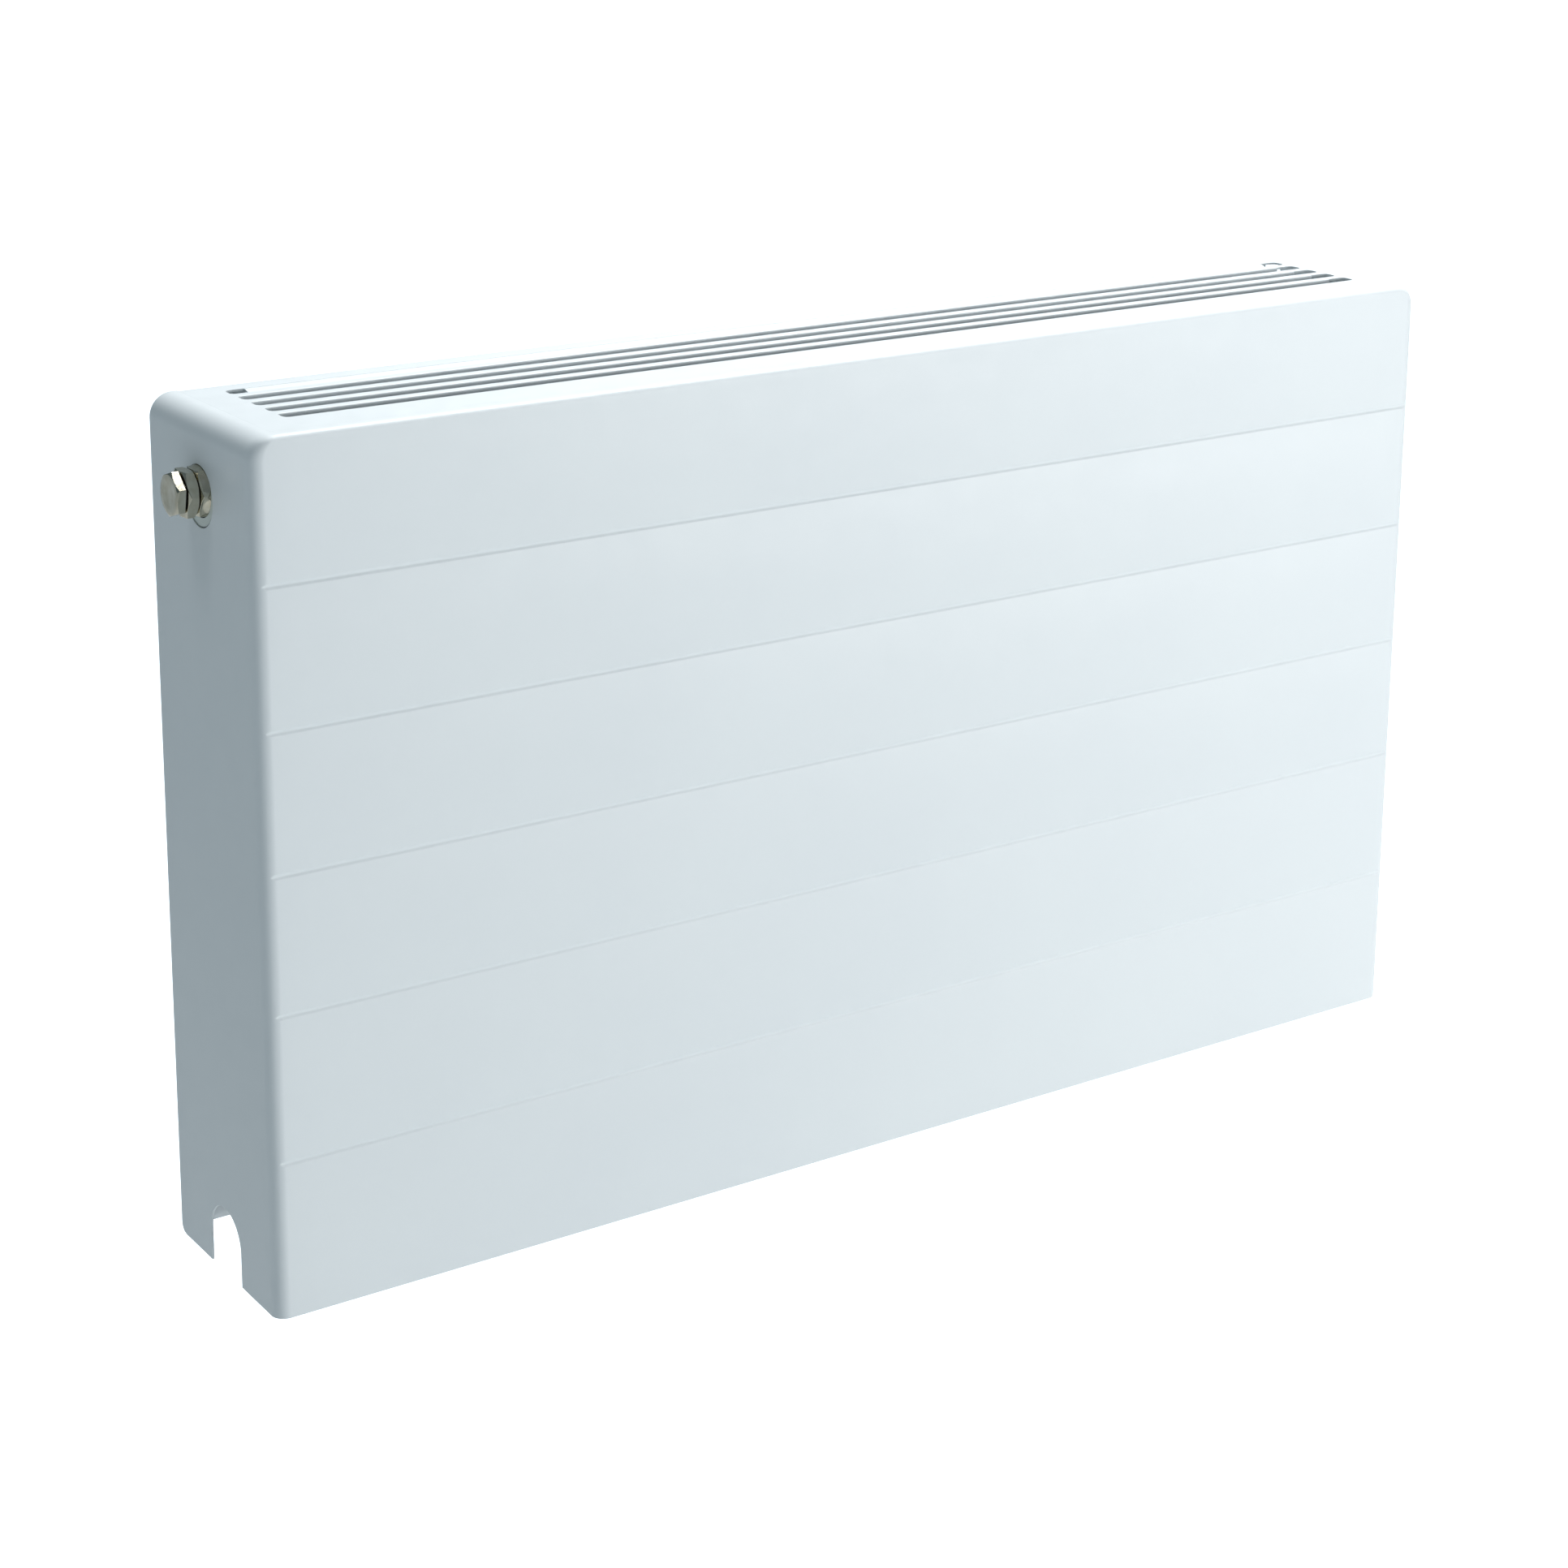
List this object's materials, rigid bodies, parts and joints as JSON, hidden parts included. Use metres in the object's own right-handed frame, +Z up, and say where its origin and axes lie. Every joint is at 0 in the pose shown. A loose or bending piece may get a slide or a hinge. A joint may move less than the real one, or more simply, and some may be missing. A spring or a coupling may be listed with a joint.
{
  "type": "panel radiator with valve",
  "caption": "Fully clad steel panel radiator with a grooved flat front, a louvred top and a nickel-plated valve on its upper left side.",
  "frame": {"origin": "bottom centre of the whole object's box, valve included; the case itself is centred 10.35 mm to the right of it", "axes": "+X along the width, away from the valve side; +Y towards the wall, so the grooved front faces -Y; +Z up"},
  "size_m": [1.0206, 0.155, 0.6],
  "materials": {
    "case_powder_coat": "smooth satin powder coat",
    "core_paint": "satin paint on pressed steel",
    "nickel_plate": "bright nickel plating on turned brass",
    "brass": "turned brass",
    "spring_steel": "drawn wire and ground pin",
    "seal_rubber": "moulded rubber",
    "white_plastic": "moulded plastic"
  },
  "bodies": {
    "root": {"front_cover": "case_powder_coat", "side_cover_left": "case_powder_coat", "side_cover_right": "case_powder_coat", "water_panel_front": "core_paint", "water_panel_middle": "core_paint", "water_panel_rear": "core_paint", "convector_front": "core_paint", "convector_middle": "core_paint", "convector_rear": "core_paint", "hub_upper_left": "core_paint", "hub_upper_right": "core_paint", "hub_lower_left": "core_paint", "hub_lower_right": "core_paint", "flow_socket": "core_paint", "return_socket": "core_paint", "riser_pipe": "core_paint", "valve_barrel": "nickel_plate", "valve_rosette": "white_plastic", "valve_insert": "nickel_plate", "union_nut": "nickel_plate", "gland_bush": "brass", "gland_seal": "seal_rubber", "return_spring": "spring_steel", "vent_plug_seal": "seal_rubber", "vent_plug": "nickel_plate", "blank_plug_left": "nickel_plate", "blank_plug_seal_left": "seal_rubber", "blank_plug_right": "nickel_plate", "blank_plug_seal_right": "seal_rubber", "hanging_lug_upper_left": "core_paint", "hanging_lug_lower_left": "core_paint", "wall_spacer_left": "white_plastic", "front_bracket_upper_left": "core_paint", "front_bracket_lower_left": "core_paint", "side_clip_upper_left": "core_paint", "side_clip_lower_left": "core_paint", "grille_clip_left": "core_paint", "hanging_lug_upper_right": "core_paint", "hanging_lug_lower_right": "core_paint", "wall_spacer_right": "white_plastic", "front_bracket_upper_right": "core_paint", "front_bracket_lower_right": "core_paint", "side_clip_upper_right": "core_paint", "side_clip_lower_right": "core_paint", "grille_clip_right": "core_paint"},
    "grille": {"top_grille": "case_powder_coat"},
    "cap_seat": {"cap_washer": "seal_rubber"},
    "valve_cap": {"valve_cap": "nickel_plate"},
    "spindle": {"valve_spindle": "spring_steel", "valve_disc": "seal_rubber"},
    "vent_seat": {"vent_screw_seal": "seal_rubber"},
    "vent_screw": {"vent_screw": "brass"},
    "outlet": {"bleed_outlet": "white_plastic"}
  },
  "joints": [
    {"name": "grille_lift", "type": "slide", "parent": "root", "child": "grille", "axis": [0, 0, 1], "range_m": [0, 0.03]},
    {"name": "cap_travel", "type": "slide", "parent": "root", "child": "cap_seat", "axis": [-1, 0, 0], "range_m": [0, 0.0061]},
    {"name": "cap_turn", "type": "hinge", "parent": "cap_seat", "child": "valve_cap", "pos_m": [-0.50465, 0.0015, 0.5505], "axis": [-1, 0, 0], "range_deg": [0, 1440]},
    {"name": "spindle_press", "type": "slide", "parent": "root", "child": "spindle", "axis": [1, 0, 0], "range_m": [0, 0.003], "stiffness_N_per_m": 4000, "springref_m": -0.004, "deforming": ["return_spring"]},
    {"name": "vent_travel", "type": "slide", "parent": "root", "child": "vent_seat", "axis": [1, 0, 0], "range_m": [0, 0.0016]},
    {"name": "vent_turn", "type": "hinge", "parent": "vent_seat", "child": "vent_screw", "pos_m": [0.49035, 0.0015, 0.5505], "axis": [1, 0, 0], "range_deg": [0, 540]},
    {"name": "outlet_swivel", "type": "hinge", "parent": "root", "child": "outlet", "pos_m": [0.49235, 0.0015, 0.5505], "axis": [1, 0, 0], "continuous": true}
  ],
  "couplings": [
    {"joint": "cap_travel", "follows": "cap_turn", "m_per_rad": 0.00023873},
    {"joint": "vent_travel", "follows": "vent_turn", "m_per_rad": 0.00015915}
  ]
}
